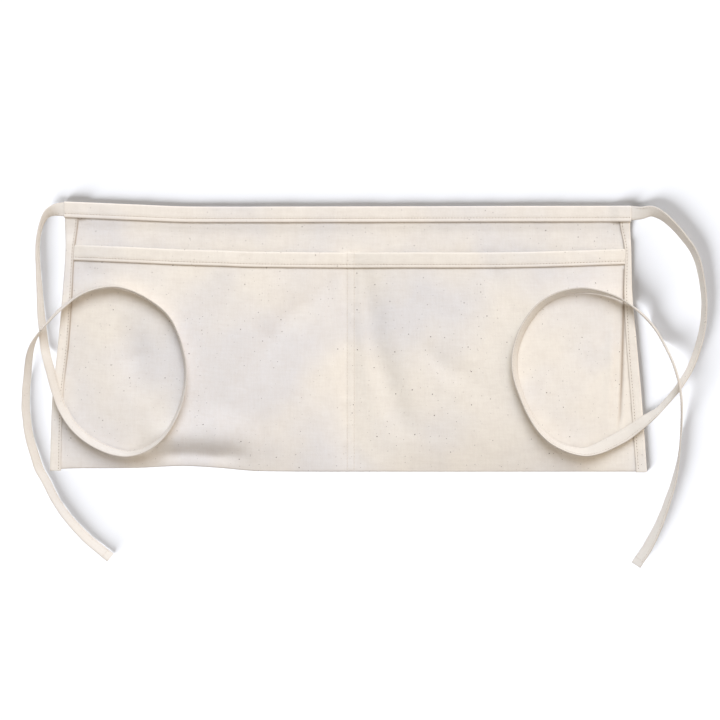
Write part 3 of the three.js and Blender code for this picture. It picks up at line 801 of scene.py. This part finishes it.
def makePocketPanel():
    stations = []
    paintedShadeRows = []
    count = int(apron["pocketHeight"] / pocketLook["step"])
    for columnX in panelColumns(pocketLook["step"], pocketLook["fineStep"]):
        bottom = float(bottomEdge(columnX(bottomLine)))
        mouth = float(mouthEdge(columnX(mouthLine))) - layer
        y = np.linspace(mouth, bottom + cloth / 2 + apron["foldRadius"], count)
        x = columnX(y)
        z = pocketMiddle(x, y) + seamGroove(x, y)
        atFold = pocketMiddle(columnX(bottom), bottom)
        foldY, foldZ = pressedFold(bottom, 1, atFold, footLift)
        foldY = foldY[1:]
        foldZ = foldZ[1:]
        # the turned fold joins the sheet where the sheet's own height ends
        foldZ = foldZ + (z[-1] - atFold) * np.clip(foldZ / foldZ[0], 0, 1)
        y = np.concatenate([y, foldY])
        x = np.concatenate([x, columnX(bottom) + 0 * foldY])
        z = np.concatenate([z, foldZ])
        stations.append(np.stack([x, y, z], -1))
        # Painted shade under the pocket hem, along the bottom fold, in the right crease and beside the side
        # hems
        underHem = mouthEdge(x) - apron["hemWidth"] - y
        shade, reach = pocketLook["mouthShade"]
        paintedShade = shade * np.exp(-(underHem / reach) ** 2)
        shade, reach = pocketLook["bottomShade"]
        paintedShade = paintedShade + shade * np.exp(-np.maximum(y - bottom, 0) / reach) + creaseAt(x, y, 3)
        fromHem = np.minimum(x - leftHemInside(y), rightHemInside(y) - x)
        shade, reach = pocketLook["sideShade"]
        paintedShade = paintedShade + shade * np.exp(-(fromHem / reach) ** 2)
        paintedShadeRows.append(np.clip(paintedShade, 0, 1))
    piece = clothPiece("pocketPanelCanvas", stations, canvasMaterial, paintedShadeRows)
    finishPiece(piece, "pocket_panel")
    return piece


# The folded strips: steps of their meshes along and across, and how dark the painted shade along their free
# edges is
strip = {"step": 0.0014, "across": 0.0008, "shade": 0.30, "shadeReach": 0.0006}
pocketHemLook = {
    "stitchRow": 0.0026,  # from the strip's low edge
    "waves": [(0.00012, 0.008, 32)],
}


def makePocketHem():
    columns = columnsBetween(
        lambda y: leftHemInside(y) + apron["gap"], lambda y: rightHemInside(y) - apron["gap"], strip["step"])
    stations = []
    paintedShadeRows = []
    for columnX in columns:
        mouth = float(mouthEdge(columnX(mouthLine)))
        y = np.linspace(mouth - apron["hemWidth"], mouth - cloth / 2 - apron["foldRadius"],
                        int(apron["hemWidth"] / strip["across"]))
        x = columnX(y)
        up = y - mouth + apron["hemWidth"]
        z = pocketHemMiddle(x, y) + groove(up - pocketHemLook["stitchRow"])
        z = z + pucker(x, 31) * np.exp(-(up / 0.0045) ** 2) + softWaves(x, y, pocketHemLook["waves"])
        foldY, foldZ = pressedFold(mouth, -1, z[-1], z[-1] - layer - cloth / 2)
        y = np.concatenate([y, foldY[1:]])
        x = np.concatenate([x, x[-1] + 0 * foldY[1:]])
        z = np.concatenate([z, foldZ[1:]])
        stations.append(np.stack([x, y, z], -1))
        # painted shade along the hem's low edge, where it steps down onto the pocket
        fromFoot = np.maximum(y - mouth + apron["hemWidth"], 0)
        paintedShadeRows.append(strip["shade"] * np.exp(-fromFoot / strip["shadeReach"]))
    piece = clothPiece("pocketHemCanvas", stations, canvasMaterial, paintedShadeRows, warmth=0.5)
    finishPiece(piece, "pocket_hem")
    return piece


sideHemLook = {
    "stitchRow": 0.0018,  # from the strip's inner edge
    "grooveDepth": 0.00032,
    "waves": [(0.00014, 0.007, 42)],
    "leftShades": (0.15, 0.70, 0.60),  # shade of the inner edge low, in the middle and at the top
    "rightShades": (0.15, 0.15, 0.45),
    "shadesAt": (-0.060, -0.010, 0.110),
}


def makeSideHem(name, node, inward, edgeAt, insideAt, shades):
    bottom = float(bottomEdge(edgeAt(bottomLine)))
    top = float(min(topEdge(edgeAt(topLine)), topEdge(insideAt(topLine)))) - layer
    stations = []
    paintedShadeRows = []
    for y in np.linspace(bottom, top, int((top - bottom) / strip["step"])):
        edge = float(edgeAt(y))
        inside = float(insideAt(y))
        height = float(sideHemMiddle(edge, y))
        foot = float(bandLift(edge, y)) + footLift
        startOfFold = edge + inward * (cloth / 2 + apron["foldRadius"])
        x = np.linspace(inside, startOfFold, 11)
        fromInside = np.abs(x - inside)
        z = height + groove(fromInside - sideHemLook["stitchRow"], sideHemLook["grooveDepth"])
        z = z + pucker(np.array(y), 41) * np.exp(-(fromInside / 0.004) ** 2)
        z = z + softWaves(x, np.array(y), sideHemLook["waves"])
        foldX, foldZ = pressedFold(edge, inward, height, foot)
        x = np.concatenate([x, foldX[1:]])
        z = np.concatenate([z, foldZ[1:]])
        stations.append(np.stack([x, y + 0 * x, z], -1))
        # painted shade along the hem's inner edge
        shade = np.interp(y, sideHemLook["shadesAt"], shades)
        paintedShadeRows.append(shade * np.exp(-np.abs(x - inside) / strip["shadeReach"]))
    piece = clothPiece(name, stations, canvasMaterial, paintedShadeRows, warmth=0.3)
    finishPiece(piece, node)
    return piece


bandLook = {
    "stitchRow": 0.0032,  # from the band's low edge
    "waves": [(0.00016, 0.010, 52)],
    "swelling": (0.0003, 0.040, 53),
}


def makeWaistband():
    columns = columnsBetween(leftEdge, rightEdge, strip["step"])
    stations = []
    paintedShadeRows = []
    for columnX in columns:
        top = float(topEdge(columnX(topLine)))
        foot = top - apron["bandWidth"]
        y = np.linspace(foot, top - cloth / 2 - apron["foldRadius"],
                        int(apron["bandWidth"] / strip["across"]))
        x = columnX(y)
        up = y - foot
        z = waistbandMiddle(x, y) + groove(up - bandLook["stitchRow"])
        z = z + pucker(x, 51) * np.exp(-(up / 0.005) ** 2) + softWaves(x, y, bandLook["waves"])
        z = z + np.maximum(softWaves(x, y, [bandLook["swelling"]]), 0)
        front = float(waistbandMiddle(columnX(top), top))
        foldY, foldZ = pressedFold(top, -1, z[-1], front / 2)
        backY, backZ = pressedFold(top, -1, -cloth / 2, -front / 2)
        backLine = np.linspace(top - cloth / 2 - apron["foldRadius"], foot, 6)
        y = np.concatenate([y, foldY[1:-1], backY[::-1], backLine[1:]])
        z = np.concatenate([z, foldZ[1:-1], -backZ[::-1], cloth / 2 + 0 * backLine[1:]])
        x = np.concatenate([x, x[-1] + 0 * y[len(x):]])
        stations.append(np.stack([x, y, z], -1))
        # painted shade along the band's low edge
        paintedShadeRows.append(strip["shade"] * np.exp(-np.maximum(y - foot, 0) / strip["shadeReach"]))
    piece = clothPiece("waistbandBinding", stations, bindingMaterial, paintedShadeRows, warmth=0.4)
    finishPiece(piece, "waistband")
    return piece


backPiece = makeBackPanel()
pocketPiece = makePocketPanel()
hemPiece = makePocketHem()
leftHemPiece = makeSideHem(
    "leftHemCanvas", "side_hem_left", 1, leftEdge, leftHemInside, sideHemLook["leftShades"])
rightHemPiece = makeSideHem(
    "rightHemCanvas", "side_hem_right", -1, rightEdge, rightHemInside, sideHemLook["rightShades"])
bandPiece = makeWaistband()
clothPieces = [backPiece, pocketPiece, hemPiece, leftHemPiece, rightHemPiece, bandPiece]
print("cloth ready")


def makeSeams():
    x = np.arange(-0.250, 0.250, 0.001)
    mouth = mouthEdge(x)
    inside = (x > leftHemInside(mouth) + 0.0008) & (x < rightHemInside(mouth) - 0.0008)
    y = mouth - apron["hemWidth"] + pocketHemLook["stitchRow"]
    stitchPiece("pocketHemStitches", [surfaceRow([hemPiece], x[inside], y[inside])])
    y = np.arange(bottomLine + 0.002, 0.078, 0.001)
    places = (seamLeft + pocketLook["seamRow"], seamRight - pocketLook["seamRow"])
    rows = [surfaceRow([pocketPiece, hemPiece], place + 0 * y, y) for place in places]
    stitchPiece("pocketSeamStitches", rows, pocketLook["seamPrick"])
    y = np.arange(bottomLine + 0.003, topLine - 0.012, 0.001)
    x = leftHemInside(y) - sideHemLook["stitchRow"]
    stitchPiece("leftHemStitches", [surfaceRow([leftHemPiece], x, y)])
    x = rightHemInside(y) + sideHemLook["stitchRow"]
    stitchPiece("rightHemStitches", [surfaceRow([rightHemPiece], x, y)])
    x = np.arange(-0.2545, 0.2535, 0.001)
    y = topEdge(x) - apron["bandWidth"] + bandLook["stitchRow"]
    stitchPiece("waistbandStitches", [surfaceRow([bandPiece], x, y)])


makeSeams()
print("seams ready")


tieLook = {
    "width": 0.011,
    "thickness": 0.0013,
    "clearance": 0.0003,
    "slope": 0.4,  # steepest climb over what it crosses
    "step": 0.0014,
    "crossing": 0.066,  # parts nearer along the tie than this don't cross
    "bow": 0.0004,  # the tape is a little hollow across
    "stitchPlace": 0.66,  # share of the half width
    "prick": 0.6,
    "sway": 4,  # the lean wanders by so many degrees
    "edgeWaves": [(0.00022, 0.009, 1), (0.0003, 0.028, 3)],  # height, size, what is added to the tie's seed
    "crumple": (0.00012, 0.009, 2),
    "barReach": 0.8,  # share of the half width
    "barLift": 0.0003,
}
# Section of the folded tape from its closed fold to the lip of its face: across, thickness, painted shade at
# the rims and lips.
# Its back mirrors its face.
tieFace = [
    (-1, 0, 0.18), (-0.97, 0.55, 0.16), (-0.88, 0.9, 0.06), (-0.6, 1, 0), (0, 0.92, 0),
    (0.55, 0.98, 0), (0.66, 0.8, 0), (0.78, 1, 0), (0.93, 0.88, 0.06), (1, 0.45, 0.16),
    (0.96, 0.12, 0.3)]
tieBack = [(across, -thick, paintedShade) for across, thick, paintedShade in tieFace[:0:-1]]
tieSection = tieFace + tieBack + [(-1.00, -0.02, 0.18)]

# x, y, lean from the surface in degrees, share of the width
leftTieRoute = [
    (-0.2555, 0.1146, 0, 1.15), (-0.262, 0.1142, 8, 1.05), (-0.27, 0.111, 50, 0.92),
    (-0.2752, 0.1028, 72, 0.9), (-0.279, 0.087, 76, 0.9), (-0.2792, 0.067, 75, 0.92),
    (-0.2776, 0.042, 67, 1), (-0.2757, 0.0156, 58, 1), (-0.2724, -0.012, 50, 1), (-0.2673, -0.031, 50, 1),
    (-0.2622, -0.05, 50, 1), (-0.2543, -0.0692, 50, 1), (-0.2407, -0.0863, 50, 1),
    (-0.2219, -0.0986, 52, 1), (-0.2003, -0.105, 58, 1), (-0.181, -0.101, 68, 1),
    (-0.1635, -0.087, 76, 1), (-0.1513, -0.065, 78, 1), (-0.1453, -0.037, 80, 1), (-0.149, -0.008, 82, 1),
    (-0.1607, 0.0178, 83, 1), (-0.1798, 0.0338, 82, 1), (-0.2016, 0.0432, 82, 1),
    (-0.2147, 0.0448, 92, 1), (-0.2318, 0.0416, 102, 1), (-0.2448, 0.0352, 104, 1),
    (-0.2582, 0.0246, 104, 1), (-0.271, 0.0108, 98, 1), (-0.2795, -0.0005, 82, 1),
    (-0.2852, -0.014, 62, 1), (-0.2889, -0.039, 58, 1), (-0.2898, -0.066, 56, 1),
    (-0.2866, -0.091, 54, 1), (-0.2817, -0.1066, 52, 1), (-0.2774, -0.1194, 50, 1),
    (-0.2715, -0.1301, 50, 1), (-0.2614, -0.1496, 50, 1), (-0.2493, -0.1661, 48, 1),
    (-0.2349, -0.1814, 42, 1), (-0.2143, -0.1982, 38, 1)]
rightTieRoute = [
    (0.2539, 0.1112, 0, 1.2), (0.2625, 0.1114, 10, 1.05), (0.2723, 0.1128, 30, 0.95),
    (0.2813, 0.1089, 50, 0.95), (0.2903, 0.1014, 60, 0.95), (0.3002, 0.0906, 64, 0.95),
    (0.3113, 0.0744, 66, 0.95), (0.317, 0.0546, 66, 0.95), (0.3196, 0.033, 66, 0.95),
    (0.3188, 0.0132, 64, 0.95), (0.3154, -0.0048, 62, 0.95), (0.306, -0.03, 62, 0.95),
    (0.2961, -0.0457, 62, 0.95), (0.2795, -0.065, 64, 0.95), (0.2651, -0.076, 34, 1.05),
    (0.2444, -0.0903, 8, 1.1), (0.2264, -0.0993, 18, 1.05), (0.212, -0.1034, 44, 1),
    (0.1904, -0.0984, 60, 1), (0.1724, -0.0849, 62, 1), (0.157, -0.0588, 64, 1), (0.1482, -0.0255, 60, 1),
    (0.1534, 0.0015, 58, 1), (0.1684, 0.025, 58, 1), (0.1859, 0.0368, 60, 1), (0.2075, 0.0415, 60, 1),
    (0.2309, 0.0385, 76, 1), (0.2512, 0.0296, 92, 1), (0.2738, 0.0096, 104, 1), (0.2883, -0.0168, 104, 1),
    (0.2948, -0.036, 102, 1), (0.2976, -0.0498, 100, 1), (0.299, -0.0786, 98, 1), (0.297, -0.1056, 90, 1),
    (0.2925, -0.1299, 70, 1), (0.287, -0.147, 64, 1), (0.2824, -0.1605, 58, 1), (0.2708, -0.186, 44, 1),
    (0.2586, -0.2048, 40, 1)]


def smoothRoute(route, step):
    # Evenly spaced points on a centripetal curve through the route's points
    points = np.array([row[:2] for row in route])
    knots = np.concatenate([[0], np.cumsum(np.sqrt(np.linalg.norm(np.diff(points, axis=0), axis=1)))])
    slopes = np.gradient(points, knots, axis=0)
    fine = np.linspace(0, knots[-1], 6000)
    curve = np.stack([smoothCurve(knots, points[:, axis], slopes[:, axis], fine) for axis in (0, 1)], -1)
    run = np.concatenate([[0], np.cumsum(np.linalg.norm(np.diff(curve, axis=0), axis=1))])
    count = int(run[-1] / step)
    even = np.linspace(0, run[-1], count + 1)
    place = np.interp(even, run, fine)
    middle = np.stack([np.interp(even, run, curve[:, axis]) for axis in (0, 1)], -1)
    columns = [np.interp(place, knots, [row[column] for row in route]) for column in (2, 3)]
    return middle, even, columns[0], columns[1]


def settled(values, width):
    # A soft average along the tie, so that lean and height change without corners
    reach = int(width / tieLook["step"])
    weights = np.hanning(2 * reach + 3)[1:-1]
    padded = np.pad(values, reach, mode="edge")
    return np.convolve(padded, weights / weights.sum(), mode="valid")


def topUnder(x, y):
    spots = [castDown(piece, x, y)[0] for piece in clothPieces]
    return max([0.0] + [spot.z for spot in spots if spot is not None])


def tieHeights(middle, left, run, lean, halfWidth, side):
    half = tieLook["thickness"] / 2
    flat = np.abs(np.cos(lean))
    reach = halfWidth * flat + half * np.sin(lean)
    rise = halfWidth * np.sin(lean) + half * flat
    need = rise + tieLook["clearance"]
    for across in np.linspace(-1, 1, 9):
        spots = middle + left * (across * reach)[:, None]
        tops = np.array([topUnder(x, y) for x, y in spots])
        drop = side * across * halfWidth * np.sin(lean)
        rests = tops > 0
        need = np.where(rests, np.maximum(need, tops + tieLook["clearance"] + half * flat - drop), need)
    need[0] = cloth / 2 + layer
    apart = np.maximum(np.abs(run[:, None] - run[None, :]) - tieLook["width"], 0)

    def settle():
        return (need[None, :] - tieLook["slope"] * apart).max(1)

    first = settle()
    distance = np.linalg.norm(middle[:, None] - middle[None, :], axis=-1)
    near = distance < reach[:, None] + reach[None, :] + tieLook["clearance"]
    later = run[:, None] - run[None, :] > tieLook["crossing"]
    over = np.where(near & later, (first + rise)[None, :] + tieLook["clearance"] + rise[:, None], 0).max(1)
    need = np.maximum(need, over)
    return settled(settle(), 0.006)


def makeTie(name, node, route, side, seed):
    middle, run, leanDegrees, widthShare = smoothRoute(route, tieLook["step"])
    lean = np.radians(settled(leanDegrees, 0.012) + tieLook["sway"] * softNoise(run, 0 * run, 0.05, seed))
    lean = np.maximum(lean, 0) * smoothStep(run, 0, 0.01)
    halfWidth = settled(widthShare, 0.006) * tieLook["width"] / 2
    tangent = normalised(np.gradient(middle, axis=0))
    left = np.stack([-tangent[:, 1], tangent[:, 0]], -1)
    heights = tieHeights(middle, left, run, lean, halfWidth, side)
    centre = np.concatenate([middle, heights[:, None]], 1)
    wide = np.concatenate([left * np.cos(lean)[:, None], (side * np.sin(lean))[:, None]], 1)
    face = np.concatenate([left * (-side * np.sin(lean))[:, None], np.cos(lean)[:, None]], 1)
    rings = []
    uvs = []
    edgeWave = sum(wave * softNoise(run, 0 * run, size, seed + added)
                   for wave, size, added in tieLook["edgeWaves"])
    crumple, size, added = tieLook["crumple"]
    for across, thick, _ in tieSection:
        lift = thick * tieLook["thickness"] / 2 + tieLook["bow"] * (1 - across * across)
        lift = lift + crumple * softNoise(run, 0 * run + across * 0.004, size, seed + added)
        reach = across * halfWidth + edgeWave
        rings.append(centre + wide * reach[:, None] + face * lift[:, None])
        uvs.append(np.stack([run, reach], -1))
    rings = np.stack(rings, 1)
    uvs = np.stack(uvs, 1)
    # painted shade at the tape's rims and lips
    paintedShade = np.tile([point[2] for point in tieSection], (len(rings), 1))
    caps = []
    for station, direction in ((0, -1), (-1, 1)):
        shift = np.append(tangent[station], 0) * direction
        caps.append([centre[station] + (rings[station] - centre[station]) * scale + shift * push
                     for scale, push in ((0.93, 0.0004), (0.70, 0.0006))])
    caps[0].reverse()
    piece = closedMesh(name, rings, caps, uvs, paintedShade, tapeMaterial)
    finishPiece(piece, node)

    rows = []
    row = slice(4, -3)
    for sign in (1, -1):
        height = sign * 0.80 * tieLook["thickness"] / 2 + tieLook["bow"] * (1 - tieLook["stitchPlace"] ** 2)
        path = centre + wide * (tieLook["stitchPlace"] * halfWidth)[:, None] + face * height
        rows.append((path[row], sign * face[row]))
    # A bar of stitches across the free end
    bar = np.linspace(-tieLook["barReach"], tieLook["barReach"], 9)[:, None]
    at = -5
    lift = tieLook["thickness"] / 2 + tieLook["barLift"]
    path = centre[at] + wide[at] * bar * halfWidth[at] + face[at] * lift
    rows.append((path, np.repeat(face[at][None], 9, 0)))
    stitches = stitchPiece(name.replace("Tape", "Stitches"), rows, tieLook["prick"])

    print(name, "length", round(float(run[-1]), 4), "highest", round(float(heights.max()), 4))
    return piece


leftTie = makeTie("leftTieTape", "tie_left", leftTieRoute, -1, 60)
rightTie = makeTie("rightTieTape", "tie_right", rightTieRoute, 1, 70)
print("ties ready")

# Only the flat edges of the apron shade the low light, and these and the ties the floor light
for name, ties in (("edgeLight", []), ("floorLight", [leftTie, rightTie])):
    blockers = bpy.data.collections.new(name + "Pieces")
    for piece in [backPiece, leftHemPiece, rightHemPiece, bandPiece] + ties:
        blockers.objects.link(piece)
    lamps[name].light_linking.blocker_collection = blockers
